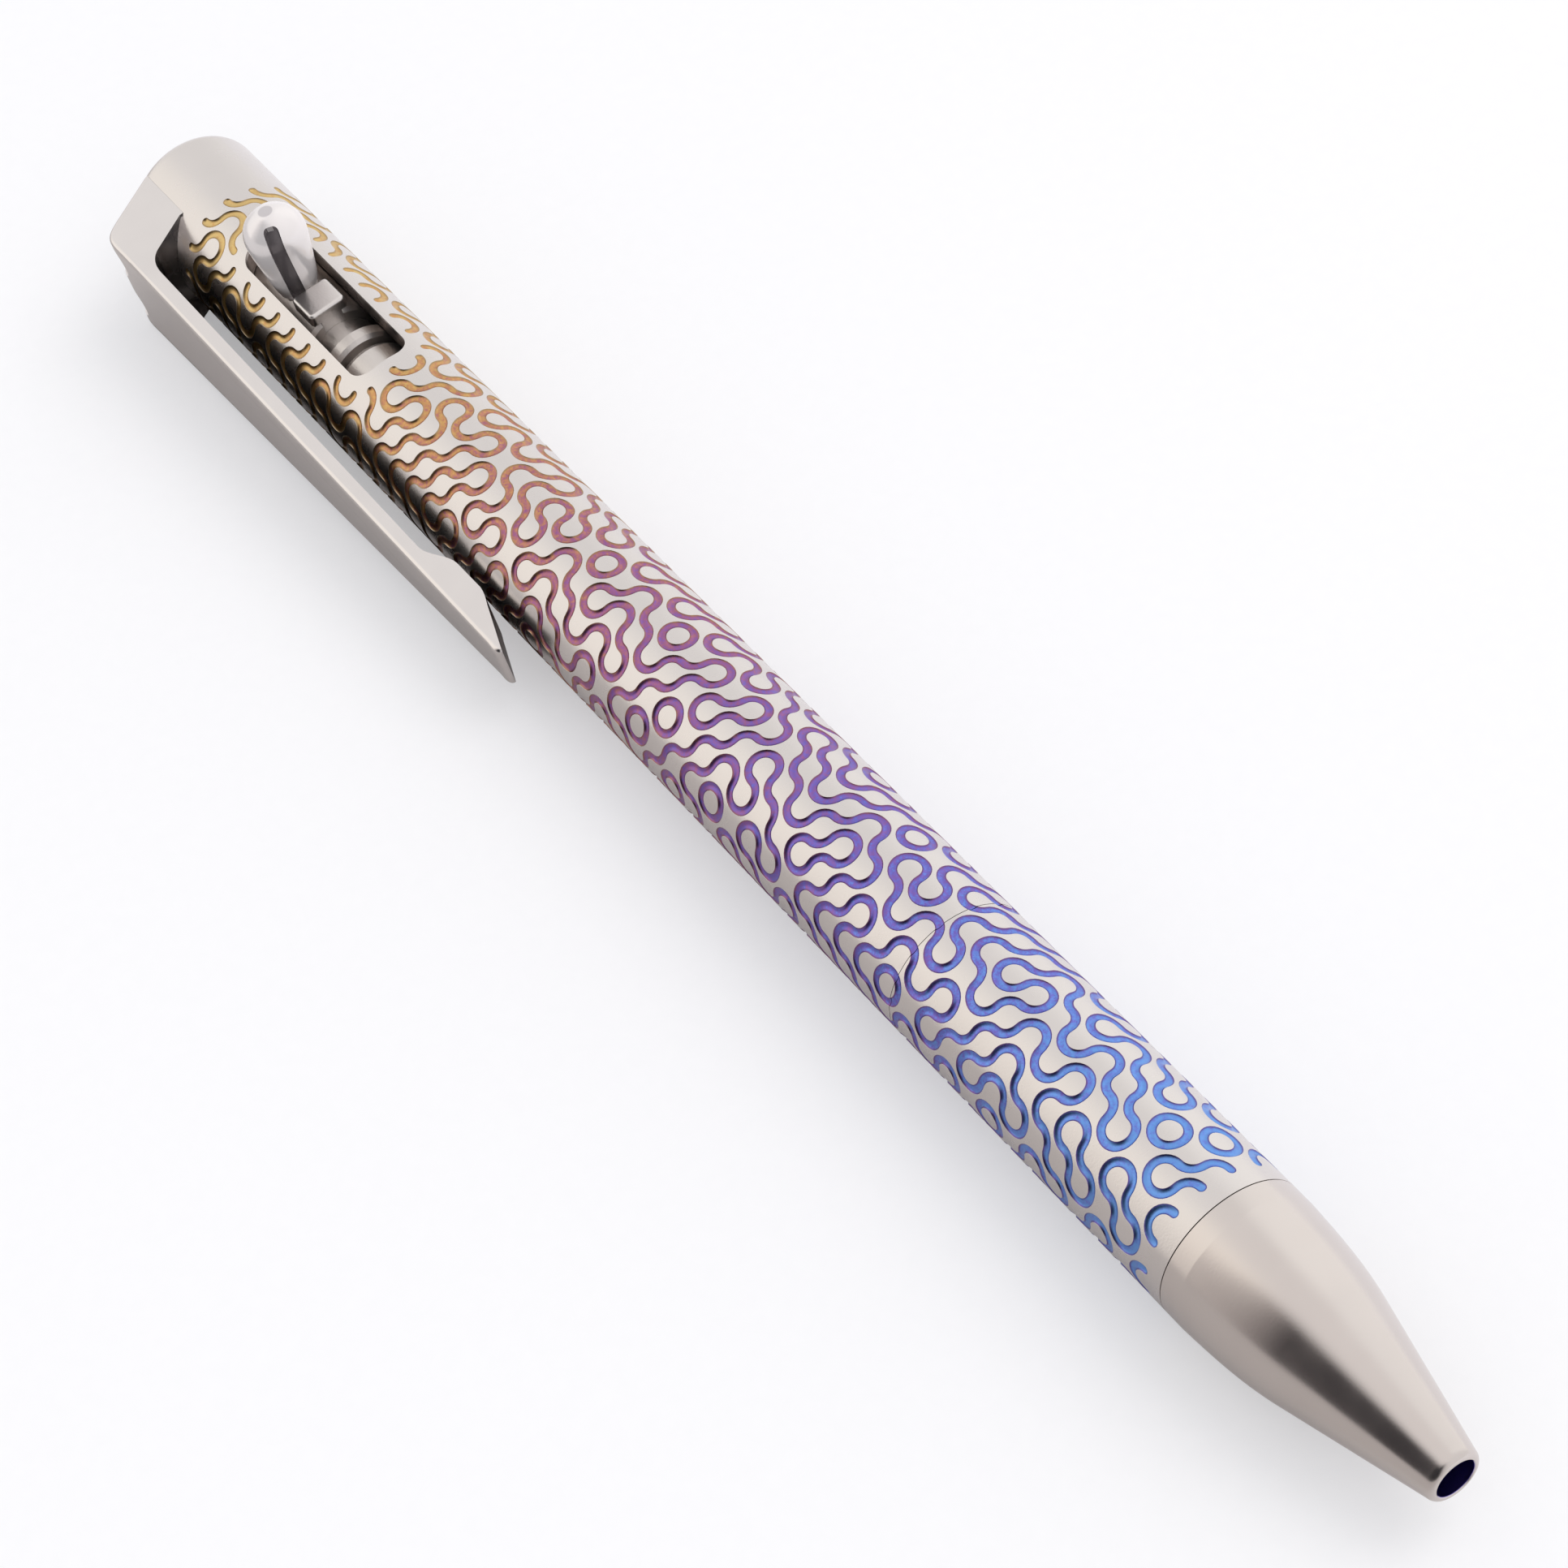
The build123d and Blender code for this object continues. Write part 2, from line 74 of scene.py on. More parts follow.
bpy.ops.object.select_all(action="DESELECT")
bpy.ops.mesh.primitive_plane_add(size=6, location=(0, 0, 0))
table = bpy.context.object
table.name = "table"
table.data.transform(Matrix.Translation((0, 0, -0.02 * MM)))
paper = bpy.data.materials.new("table_paper")
paper.use_nodes = True
paper_nodes = paper.node_tree.nodes
paper_links = paper.node_tree.links
paper_surface = paper_nodes["Principled BSDF"]
paper_surface.inputs["Roughness"].default_value = 0.85
paper_surface.inputs["Specular IOR Level"].default_value = 0.2
paper_noise = paper_nodes.new("ShaderNodeTexNoise")
paper_noise.inputs["Scale"].default_value = 900
paper_noise.inputs["Detail"].default_value = 3
paper_tone = paper_nodes.new("ShaderNodeValToRGB")
paper_tone.color_ramp.elements[0].color = (0.93, 0.928, 0.945, 1)
paper_tone.color_ramp.elements[1].color = (0.955, 0.952, 0.966, 1)
paper_place = paper_nodes.new("ShaderNodeTexCoord")
paper_links.new(paper_place.outputs["Object"], paper_noise.inputs["Vector"])
paper_links.new(paper_noise.outputs["Fac"], paper_tone.inputs["Fac"])
paper_side = paper_nodes.new("ShaderNodeSeparateXYZ")
paper_links.new(paper_place.outputs["Object"], paper_side.inputs["Vector"])
# Painted shade seen only in reflections: the paper's mirrored colour darkens toward the clip side and is
# lighter on the far side.
paper_painted_shade_side = paper_nodes.new("ShaderNodeMapRange")
paper_painted_shade_side.interpolation_type = "SMOOTHSTEP"
paper_painted_shade_side.inputs["From Min"].default_value = -12 * MM
paper_painted_shade_side.inputs["From Max"].default_value = 12 * MM
paper_links.new(paper_side.outputs["Y"], paper_painted_shade_side.inputs["Value"])
paper_mirrored_painted_shade = paper_nodes.new("ShaderNodeMix")
paper_mirrored_painted_shade.data_type = "RGBA"
paper_mirrored_painted_shade.inputs[6].default_value = (0.58, 0.545, 0.53, 1)
paper_mirrored_painted_shade.inputs[7].default_value = (1.0, 0.985, 1.0, 1)
paper_links.new(paper_painted_shade_side.outputs["Result"], paper_mirrored_painted_shade.inputs[0])
paper_seen = paper_nodes.new("ShaderNodeLightPath")
paper_colour = paper_nodes.new("ShaderNodeMix")
paper_colour.data_type = "RGBA"
paper_links.new(paper_tone.outputs["Color"], paper_colour.inputs[6])
paper_links.new(paper_mirrored_painted_shade.outputs[2], paper_colour.inputs[7])
paper_links.new(paper_seen.outputs["Is Glossy Ray"], paper_colour.inputs[0])
paper_shade = paper_nodes.new("ShaderNodeMix")
paper_shade.data_type = "RGBA"
paper_shade.blend_type = "MULTIPLY"
paper_shade.inputs[7].default_value = (0.6, 0.6, 0.6, 1)
paper_links.new(paper_seen.outputs["Is Camera Ray"], paper_shade.inputs[0])
paper_links.new(paper_colour.outputs[2], paper_shade.inputs[6])
paper_links.new(paper_shade.outputs[2], paper_surface.inputs["Base Color"])
paper_fill = paper_nodes.new("ShaderNodeMath")
paper_fill.operation = "MULTIPLY"
paper_fill.inputs[1].default_value = 0.4
paper_links.new(paper_seen.outputs["Is Camera Ray"], paper_fill.inputs[0])
paper_links.new(paper_tone.outputs["Color"], paper_surface.inputs["Emission Color"])
paper_links.new(paper_fill.outputs[0], paper_surface.inputs["Emission Strength"])
table.data.materials.append(paper)

# ---------------------------------------------------------------------------------------------
# Light tent. Reflections see its painted wall, brighter behind the clip side and on the far side,
# with a dark opening in front and a half-lit stretch of cloth beside it. All else sees plain white.
# ---------------------------------------------------------------------------------------------
world = bpy.data.worlds.new("light_tent")
bpy.context.scene.world = world
world.use_nodes = True
tent = world.node_tree
tent.nodes.clear()


def tent_math(operation, first, second=None):
    """Arithmetic on the tent wall's direction."""
    node = tent.nodes.new("ShaderNodeMath")
    node.operation = operation
    for socket, value in zip(node.inputs, (first, second)):
        if isinstance(value, (int, float)):
            socket.default_value = value
        elif value is not None:
            tent.links.new(value, socket)
    return node.outputs[0]


def tent_blend(amount, first, second):
    """Mix two colours of the tent wall by a mask."""
    mix = tent.nodes.new("ShaderNodeMix")
    mix.data_type = "RGBA"
    for socket, value in ((mix.inputs[6], first), (mix.inputs[7], second)):
        if isinstance(value, tuple):
            socket.default_value = value
        else:
            tent.links.new(value, socket)
    tent.links.new(amount, mix.inputs[0])
    return mix.outputs[2]


tent_place = tent.nodes.new("ShaderNodeTexCoord")
tent_axes = tent.nodes.new("ShaderNodeSeparateXYZ")
tent.links.new(tent_place.outputs["Generated"], tent_axes.inputs["Vector"])
turn = tent_math("ARCTAN2", tent_axes.outputs["Y"], tent_axes.outputs["X"])
turn = tent_math("MULTIPLY_ADD", turn, 1 / math.tau)
turn.node.inputs[2].default_value = 0.5
around = tent.nodes.new("ShaderNodeValToRGB")
wall_stops = (
    (-180, (1.04, 1.02, 1.01)), (-150, (1.22, 1.18, 1.12)),
    (-135, (1.28, 1.22, 1.15)), (-121, (1.28, 1.21, 1.13)),
    (-115.5, (0.74, 0.69, 0.67)), (-109, (0.56, 0.515, 0.50)), (-101, (0.34, 0.305, 0.30)),
    (-95, (0.06, 0.053, 0.058)), (-90, (0.022, 0.02, 0.024)), (-36, (0.022, 0.02, 0.024)),
    (-22, (0.6, 0.58, 0.58)), (0, (0.95, 0.93, 0.93)), (80, (1.02, 1.0, 1.0)), (100, (1.24, 1.22, 1.2)),
    (122, (1.24, 1.22, 1.2)), (142, (1.0, 0.98, 0.97)), (180, (1.04, 1.02, 1.01)),
)
around.color_ramp.elements.remove(around.color_ramp.elements[1])
around.color_ramp.elements[0].position = 0
around.color_ramp.elements[0].color = (*wall_stops[0][1], 1)
for azimuth, colour in wall_stops[1:]:
    around.color_ramp.elements.new(azimuth / 360 + 0.5).color = (*colour, 1)
tent.links.new(turn, around.inputs["Fac"])
top = tent.nodes.new("ShaderNodeMapRange")
top.interpolation_type = "SMOOTHSTEP"
top.inputs["From Min"].default_value = math.sin(math.radians(52))
top.inputs["From Max"].default_value = math.sin(math.radians(80))
tent.links.new(tent_axes.outputs["Z"], top.inputs["Value"])
wall = tent_blend(top.outputs["Result"], around.outputs["Color"], (1.02, 0.985, 0.975, 1))
seen_by = tent.nodes.new("ShaderNodeLightPath")
wall = tent_blend(seen_by.outputs["Is Glossy Ray"], (0.90, 0.90, 0.915, 1), wall)
wall = tent_blend(seen_by.outputs["Is Camera Ray"], wall, (1.0, 1.0, 1.0, 1))
glow = tent.nodes.new("ShaderNodeBackground")
tent.links.new(wall, glow.inputs["Color"])
tent_output = tent.nodes.new("ShaderNodeOutputWorld")
tent.links.new(glow.outputs["Background"], tent_output.inputs["Surface"])


def tent_direction(azimuth, elevation):
    """Unit vector toward a place on the tent wall."""
    turn = math.radians(azimuth)
    rise = math.radians(elevation)
    return (math.cos(rise) * math.cos(turn), math.cos(rise) * math.sin(turn), math.sin(rise))


def soft_lamp(name, azimuth, elevation, distance, size, power, colour):
    """Large square lamp outside the tent, aimed at the middle of the pen."""
    data = bpy.data.lights.new(name, "AREA")
    data.size = size
    data.energy = power
    data.color = colour
    lamp = bpy.data.objects.new(name, data)
    toward_lamp = Vector(tent_direction(azimuth, elevation))
    aim = toward_lamp.to_track_quat("Z", "Y").to_matrix().to_4x4()
    lamp.matrix_world = Matrix.Translation(toward_lamp * distance) @ aim
    lamp.visible_glossy = False
    bpy.context.scene.collection.objects.link(lamp)


soft_lamp("lamp_right", 70, 56, 0.9, 0.6, 2.0, (1.0, 0.99, 0.97))

# ---------------------------------------------------------------------------------------------
# Satin titanium. The turned and blasted surface has a very fine grain, and its tone and gloss drift
# a little from place to place. The pen rests on its barrel and on the lower corner of the clip's
# root, so it is rolled a few degrees.
# ---------------------------------------------------------------------------------------------
front_low, front_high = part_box("front_barrel")
nose_joint = Vector((front_high.x, (front_low.y + front_high.y) / 2, (front_low.z + front_high.z) / 2))
lean = math.radians(5.7034)
grain = bpy.data.node_groups.new("satin_grain", "ShaderNodeTree")
grain.interface.new_socket("Vector", in_out="INPUT", socket_type="NodeSocketVector")
for name in ("Fineness", "Roughness"):
    grain.interface.new_socket(name, in_out="INPUT", socket_type="NodeSocketFloat")
for name in ("Roughness", "Cloud", "Height"):
    grain.interface.new_socket(name, in_out="OUTPUT", socket_type="NodeSocketFloat")
grain_in = grain.nodes.new("NodeGroupInput")
grain_out = grain.nodes.new("NodeGroupOutput")
fine = grain.nodes.new("ShaderNodeTexNoise")
fine.inputs["Detail"].default_value = 2
grain.links.new(grain_in.outputs["Vector"], fine.inputs["Vector"])
grain.links.new(grain_in.outputs["Fineness"], fine.inputs["Scale"])
cloud = grain.nodes.new("ShaderNodeTexNoise")
cloud.inputs["Scale"].default_value = 0.35
cloud.inputs["Detail"].default_value = 4
grain.links.new(grain_in.outputs["Vector"], cloud.inputs["Vector"])
drift = grain.nodes.new("ShaderNodeMath")
drift.operation = "MULTIPLY_ADD"
drift.inputs[1].default_value = 0.14
drift.inputs[2].default_value = -0.07
grain.links.new(cloud.outputs["Fac"], drift.inputs[0])
rough = grain.nodes.new("ShaderNodeMath")
grain.links.new(drift.outputs[0], rough.inputs[0])
grain.links.new(grain_in.outputs["Roughness"], rough.inputs[1])
grain.links.new(rough.outputs[0], grain_out.inputs["Roughness"])
grain.links.new(cloud.outputs["Fac"], grain_out.inputs["Cloud"])
grain.links.new(fine.outputs["Fac"], grain_out.inputs["Height"])


def pen_space(material):
    """Object coordinates turned into the pen's own millimetres."""
    place = material.node_tree.nodes.new("ShaderNodeTexCoord")
    frame_of_pen = material.node_tree.nodes.new("ShaderNodeMapping")
    frame_of_pen.vector_type = "TEXTURE"
    frame_of_pen.inputs["Location"].default_value = nose_joint
    frame_of_pen.inputs["Rotation"].default_value = (lean, 0, 0)
    frame_of_pen.inputs["Scale"].default_value = (MM, MM, MM)
    material.node_tree.links.new(place.outputs["Object"], frame_of_pen.inputs["Vector"])
    return frame_of_pen.outputs["Vector"]


def satin_metal(name, dark, light, roughness, fineness=9.0, stretch=(1, 1, 1), bump=0.02):
    """Metal with a fine grain: its colour drifts between two close tones."""
    material = bpy.data.materials.new(name)
    material.use_nodes = True
    nodes = material.node_tree.nodes
    links = material.node_tree.links
    surface = nodes["Principled BSDF"]
    surface.inputs["Metallic"].default_value = 1
    pull = nodes.new("ShaderNodeMapping")
    pull.inputs["Scale"].default_value = stretch
    links.new(pen_space(material), pull.inputs["Vector"])
    texture = nodes.new("ShaderNodeGroup")
    texture.node_tree = grain
    texture.inputs["Fineness"].default_value = fineness
    texture.inputs["Roughness"].default_value = roughness
    links.new(pull.outputs["Vector"], texture.inputs["Vector"])
    tone = nodes.new("ShaderNodeMix")
    tone.data_type = "RGBA"
    tone.inputs[6].default_value = (*dark, 1)
    tone.inputs[7].default_value = (*light, 1)
    links.new(texture.outputs["Cloud"], tone.inputs[0])
    links.new(tone.outputs[2], surface.inputs["Base Color"])
    links.new(texture.outputs["Roughness"], surface.inputs["Roughness"])
    relief = nodes.new("ShaderNodeBump")
    relief.inputs["Strength"].default_value = 0.5
    relief.inputs["Distance"].default_value = bump * MM
    links.new(texture.outputs["Height"], relief.inputs["Height"])
    links.new(relief.outputs["Normal"], surface.inputs["Normal"])
    return material


def mask_step(material, value, low, high):
    """Smooth mask that rises from 0 at low to 1 at high."""
    step = material.node_tree.nodes.new("ShaderNodeMapRange")
    step.interpolation_type = "SMOOTHSTEP"
    step.inputs["From Min"].default_value = low
    step.inputs["From Max"].default_value = high
    material.node_tree.links.new(value, step.inputs["Value"])
    return step.outputs["Result"]


def tint(material, amount, first, second):
    """Mix of two colours, each a socket or a plain colour, by a mask or a plain share."""
    mix = material.node_tree.nodes.new("ShaderNodeMix")
    mix.data_type = "RGBA"
    for socket, value in ((mix.inputs[0], amount), (mix.inputs[6], first), (mix.inputs[7], second)):
        if isinstance(value, (float, tuple)):
            socket.default_value = value
        else:
            material.node_tree.links.new(value, socket)
    return mix.outputs[2]


# ---------------------------------------------------------------------------------------------
# Engraved barrels. Two titanium tubes with winding grooves milled by a ball cutter, then anodised in
# a bath whose voltage was stepped along the pen, and wiped back to bare metal on the outside.
# ---------------------------------------------------------------------------------------------
rear_low, rear_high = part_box("rear_barrel")
barrel_radius = (front_high.z - front_low.z) / 2 / MM
barrel_joint = (front_high.x - rear_high.x) / MM
tail_end = (front_high.x - rear_low.x) / MM
pen_lie = Matrix.Translation(nose_joint) @ Matrix.Rotation(lean, 4, "X") @ Matrix.Scale(MM, 4)
tiles_round = 15
tile_rows = 53
tile_length = 1.96
engraving_start = 1.37
engraved_length = 106
groove_half = 0.143
corner_line = 0.185
arc_steps = 8
groove_profile = ((-1, 0), (-0.92, 0.032), (-0.6, 0.1), (0, 0.13), (0.6, 0.1), (0.92, 0.032), (1, 0))
blank_rows = range(42, 51)
blank_columns = (tiles_round - 1, 0, 1)
joint_gap = 0.02
tail_fillet = 1.0

draw = random.Random(7)
waves = [[draw.random() < 0.5 for column in range(tiles_round)] for row in range(tile_rows)]


def is_blank(row, column):
    """Tiles past the engraving's ends and round the window stay plain."""
    if row < 0 or row >= tile_rows:
        return True
    return row in blank_rows and column % tiles_round in blank_columns


def seat(piece, body, slot, *nodes):
    """Lay a finished piece in the pen's place, let it ride its body and stand for its CAD nodes."""
    piece.data.transform(pen_lie)
    piece.data.update()
    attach(piece, body)
    if nodes:
        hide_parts(*nodes)


def smooth(piece, degrees):
    """Shade a piece smooth, with its edges sharper than the angle left crisp."""
    bpy.ops.object.select_all(action="DESELECT")
    bpy.context.view_layer.objects.active = piece
    piece.select_set(True)
    bpy.ops.object.shade_smooth_by_angle(angle=math.radians(degrees))
    piece.select_set(False)


class Skin:
    """Outside of a barrel, built tile by tile. U counts tiles along it and V tiles round it."""

    def __init__(self):
        self.mesh = bmesh.new()
        self.points = {}

    def point(self, u, v, depth):
        key = (round(u * 1e4), round(v * 1e4) % (tiles_round * 10000), round(depth * 1e4))
        if key not in self.points:
            angle = v * math.tau / tiles_round
            radius = barrel_radius - depth
            x = -(engraving_start + u * tile_length)
            self.points[key] = self.mesh.verts.new((x, -radius * math.sin(angle), radius * math.cos(angle)))
        return self.points[key]

    def face(self, corners):
        ring = []
        for corner in corners:
            vertex = self.point(*corner)
            if vertex not in ring:
                ring.append(vertex)
        self.mesh.faces.new(ring)

    def engraved_tile(self, row, column, mirrored):
        """Two quarter grooves round opposite corners, with the plain land between them."""
        left = row
        low = column - 0.5

        def laid(u, v, depth=0.0):
            return (left + (1 - u if mirrored else u), low + v, depth)

        def face(corners):
            self.face(corners[::-1] if mirrored else corners)

        radii = [(0, 0), (corner_line, 0)]
        radii += [(0.5 + groove_half * share, depth) for share, depth in groove_profile]
        angles = [math.pi / 2 * step / arc_steps for step in range(arc_steps + 1)]
        for turned_over in (False, True):
            def spot(radius_depth, angle):
                u = radius_depth[0] * math.cos(angle)
                v = radius_depth[0] * math.sin(angle)
                return laid(1 - u, 1 - v, radius_depth[1]) if turned_over else laid(u, v, radius_depth[1])

            for inner, outer in zip(radii, radii[1:]):
                for first, second in zip(angles, angles[1:]):
                    face([spot(inner, first), spot(outer, first), spot(outer, second), spot(inner, second)])
        edge = 0.5 + groove_half
        near = [(edge * math.cos(angle), edge * math.sin(angle)) for angle in angles]
        far = [(1 - edge * math.sin(angle), 1 - edge * math.cos(angle)) for angle in angles]
        for step in range(arc_steps):
            face([laid(*near[step]), laid(*far[step]), laid(*far[step + 1]), laid(*near[step + 1])])
        inset = 1 - corner_line
        face([laid(*near[0]), laid(inset, 0), laid(1, corner_line), laid(*far[0])])
        face([laid(inset, 0), laid(1, 0), laid(1, corner_line)])
        face([laid(*near[-1]), laid(*far[-1]), laid(corner_line, 1), laid(0, inset)])
        face([laid(0, inset), laid(corner_line, 1), laid(0, 1)])

    def plain_tile(self, row, column):
        """Smooth tile. Where a groove runs into its side, it ends in a round cap."""
        lines = [0, corner_line, 0.5 - groove_half, 0.5, 0.5 + groove_half, 1 - corner_line, 1]
        sides = (
            ((row - 1, column), lambda s, t: (s, t)),
            ((row, column - 1), lambda s, t: (1 - t, s)),
            ((row + 1, column), lambda s, t: (1 - s, 1 - t)),
            ((row, column + 1), lambda s, t: (t, 1 - s)),
        )
        capped = [place for neighbour, place in sides if not is_blank(*neighbour)]
        taken = set()
        for place in capped:
            for t in (0.5 - groove_half / 2, 0.5 + groove_half / 2):
                u, v = place(corner_line / 2, t)
                taken.add((sum(line < u for line in lines) - 1, sum(line < v for line in lines) - 1))
        for a in range(len(lines) - 1):
            for b in range(len(lines) - 1):
                if (a, b) not in taken:
                    u0, u1, v0, v1 = lines[a], lines[a + 1], lines[b], lines[b + 1]
                    corners = ((u0, v0), (u1, v0), (u1, v1), (u0, v1))
                    self.face([(row + u, column - 0.5 + v, 0.0) for u, v in corners])
        depths = [(share * groove_half, depth) for share, depth in groove_profile if share >= 0]
        angles = [math.pi * (step / arc_steps - 0.5) for step in range(arc_steps + 1)]
        for place in capped:
            def laid(s, t, depth=0.0):
                u, v = place(s, t)
                return (row + u, column - 0.5 + v, depth)

            def spot(ring, angle):
                return laid(ring[0] * math.cos(angle), 0.5 + ring[0] * math.sin(angle), ring[1])

            for inner, outer in zip(depths, depths[1:]):
                for first, second in zip(angles, angles[1:]):
                    self.face([spot(inner, first), spot(outer, first),
                               spot(outer, second), spot(inner, second)])
            rim = [spot((groove_half, 0.0), angle) for angle in angles]
            middle = arc_steps // 2
            beyond = laid(corner_line, 0.5)
            self.face([rim[0], laid(corner_line, 0.5 - groove_half), beyond] + rim[middle:0:-1])
            self.face([beyond, laid(corner_line, 0.5 + groove_half)] + rim[-1:middle - 1:-1])

    def lay_rows(self, first, last):
        for row in range(first, last + 1):
            for column in range(tiles_round):
                if is_blank(row, column):
                    self.plain_tile(row, column)
                else:
                    self.engraved_tile(row, column, waves[row][column])

    def trim(self, station, keep_tail_side):
        """Cut the skin square to the axis and return the cut's edges."""
        everything = self.mesh.verts[:] + self.mesh.edges[:] + self.mesh.faces[:]
        bmesh.ops.bisect_plane(
            self.mesh, geom=everything, dist=1e-5, plane_co=(-station, 0, 0), plane_no=(1, 0, 0),
            clear_outer=keep_tail_side, clear_inner=not keep_tail_side,
        )
        return [edge for edge in self.mesh.edges if edge.is_boundary
                and all(abs(vertex.co.x + station) < 1e-3 for vertex in edge.verts)]

    def extend(self, edges, rings):
        """Carry an open edge on through rings, each a station and a radius."""
        for station, radius in rings:
            grown = bmesh.ops.extrude_edge_only(self.mesh, edges=edges)["geom"]
            edges = [item for item in grown if isinstance(item, bmesh.types.BMEdge) and item.is_boundary]
            for vertex in {vertex for edge in edges for vertex in edge.verts}:
                scale = radius / math.hypot(vertex.co.y, vertex.co.z)
                vertex.co = (-station, vertex.co.y * scale, vertex.co.z * scale)
        return edges

    def finish(self, name):
        bmesh.ops.remove_doubles(self.mesh, verts=self.mesh.verts[:], dist=1e-5)
        bmesh.ops.recalc_face_normals(self.mesh, faces=self.mesh.faces[:])
        data = bpy.data.meshes.new(name)
        self.mesh.to_mesh(data)
        self.mesh.free()
        piece = bpy.data.objects.new(name, data)
        bpy.context.scene.collection.objects.link(piece)
        return piece


bore = 3.2
grip_bore = 3.1
spigot = 3.85
socket = 3.87
socket_depth = 9.1
nose_socket_depth = 7.5
spigot_length = 8.6
spigot_chamfer = 0.3
bore_end = 102.65

front_skin = Skin()
front_skin.lay_rows(-1, 11)
nose_edge = front_skin.trim(joint_gap, True)
barrel_edge = front_skin.trim(barrel_joint - joint_gap, False)
spigot_end = barrel_joint + spigot_length
inner_a = front_skin.extend(barrel_edge, (
    (barrel_joint - joint_gap, spigot), (spigot_end - spigot_chamfer, spigot),
    (spigot_end, spigot - spigot_chamfer), (spigot_end, grip_bore), (12, grip_bore),
))
inner_b = front_skin.extend(nose_edge, (
    (joint_gap, socket), (nose_socket_depth, socket), (nose_socket_depth, grip_bore), (11, grip_bore),
))
bmesh.ops.bridge_loops(front_skin.mesh, edges=inner_a + inner_b)
front_engraved = front_skin.finish("front_barrel_engraved")

rear_skin = Skin()
rear_skin.lay_rows(11, 56)
tail_edge = rear_skin.trim(tail_end - tail_fillet, False)
barrel_edge = rear_skin.trim(barrel_joint + joint_gap, True)
fillet_angles = [math.pi / 2 * step / 8 for step in range(1, 9)]
rear_skin.extend(tail_edge, [
    (tail_end - tail_fillet * (1 - math.sin(angle)), barrel_radius - tail_fillet * (1 - math.cos(angle)))
    for angle in fillet_angles
] + [(tail_end, 2.0), (tail_end, 0)])
rear_skin.extend(barrel_edge, (
    (barrel_joint + joint_gap, socket), (barrel_joint + socket_depth, socket),
    (barrel_joint + socket_depth, bore), (bore_end, bore), (bore_end, 0),
))
rear_engraved = rear_skin.finish("rear_barrel_engraved")


def boolean(piece, tool, operation):
    """Apply an exact boolean and remove the tool."""
    step = piece.modifiers.new("boolean", "BOOLEAN")
    step.operation = operation
    step.solver = "EXACT"
    step.object = tool
    bpy.context.view_layer.objects.active = piece
    bpy.ops.object.modifier_apply(modifier="boolean")
    bpy.data.objects.remove(tool)


window_front = 84.8
window_rear = 100.5
window_width = 4.16
window_corner = 1.3
bpy.ops.object.select_all(action="DESELECT")
bpy.ops.mesh.primitive_cube_add(size=1, location=(-(window_front + window_rear) / 2, 0, 3.5))
window_cutter = bpy.context.object
window_cutter.scale = (window_rear - window_front, window_width, 7)
bpy.ops.object.transform_apply(location=True, scale=True)
bpy.ops.object.mode_set(mode="EDIT")
edit = bmesh.from_edit_mesh(window_cutter.data)
for item in edit.edges:
    item.select = abs(item.verts[0].co.z - item.verts[1].co.z) > 1
bmesh.update_edit_mesh(window_cutter.data)
bpy.ops.mesh.select_mode(type="EDGE")
bpy.ops.mesh.bevel(offset=window_corner, segments=10, affect="EDGES")
bpy.ops.object.mode_set(mode="OBJECT")
boolean(rear_engraved, window_cutter, "DIFFERENCE")

anodised = satin_metal("engraved_titanium", (0.635, 0.605, 0.59), (0.675, 0.645, 0.63),
                       0.27, fineness=8, bump=0.008)
anodised_nodes = anodised.node_tree.nodes
anodised_links = anodised.node_tree.links
anodised_surface = anodised_nodes["Principled BSDF"]
bare_colour = anodised_surface.inputs["Base Color"].links[0].from_socket
along = anodised_nodes.new("ShaderNodeSeparateXYZ")
pen_vector = pen_space(anodised)
anodised_links.new(pen_vector, along.inputs["Vector"])
across = anodised_nodes.new("ShaderNodeCombineXYZ")
anodised_links.new(along.outputs["Y"], across.inputs["Y"])
anodised_links.new(along.outputs["Z"], across.inputs["Z"])
from_axis = anodised_nodes.new("ShaderNodeVectorMath")
from_axis.operation = "LENGTH"
anodised_links.new(across.outputs["Vector"], from_axis.inputs[0])
groove_depth = anodised_nodes.new("ShaderNodeAttribute")
groove_depth.attribute_name = "groove_depth"
mottle = anodised_nodes.new("ShaderNodeTexNoise")
mottle.inputs["Scale"].default_value = 2.2
mottle.inputs["Detail"].default_value = 7
mottle.inputs["Roughness"].default_value = 0.85
anodised_links.new(pen_vector, mottle.inputs["Vector"])
oxide_stops = (
    (0.03, (0.15, 0.33, 0.74)), (0.15, (0.15, 0.24, 0.68)), (0.26, (0.17, 0.14, 0.53)),
    (0.38, (0.23, 0.13, 0.42)), (0.50, (0.31, 0.12, 0.30)), (0.60, (0.38, 0.15, 0.21)),
    (0.70, (0.50, 0.23, 0.14)), (0.81, (0.58, 0.34, 0.13)), (0.97, (0.63, 0.46, 0.20)),
)


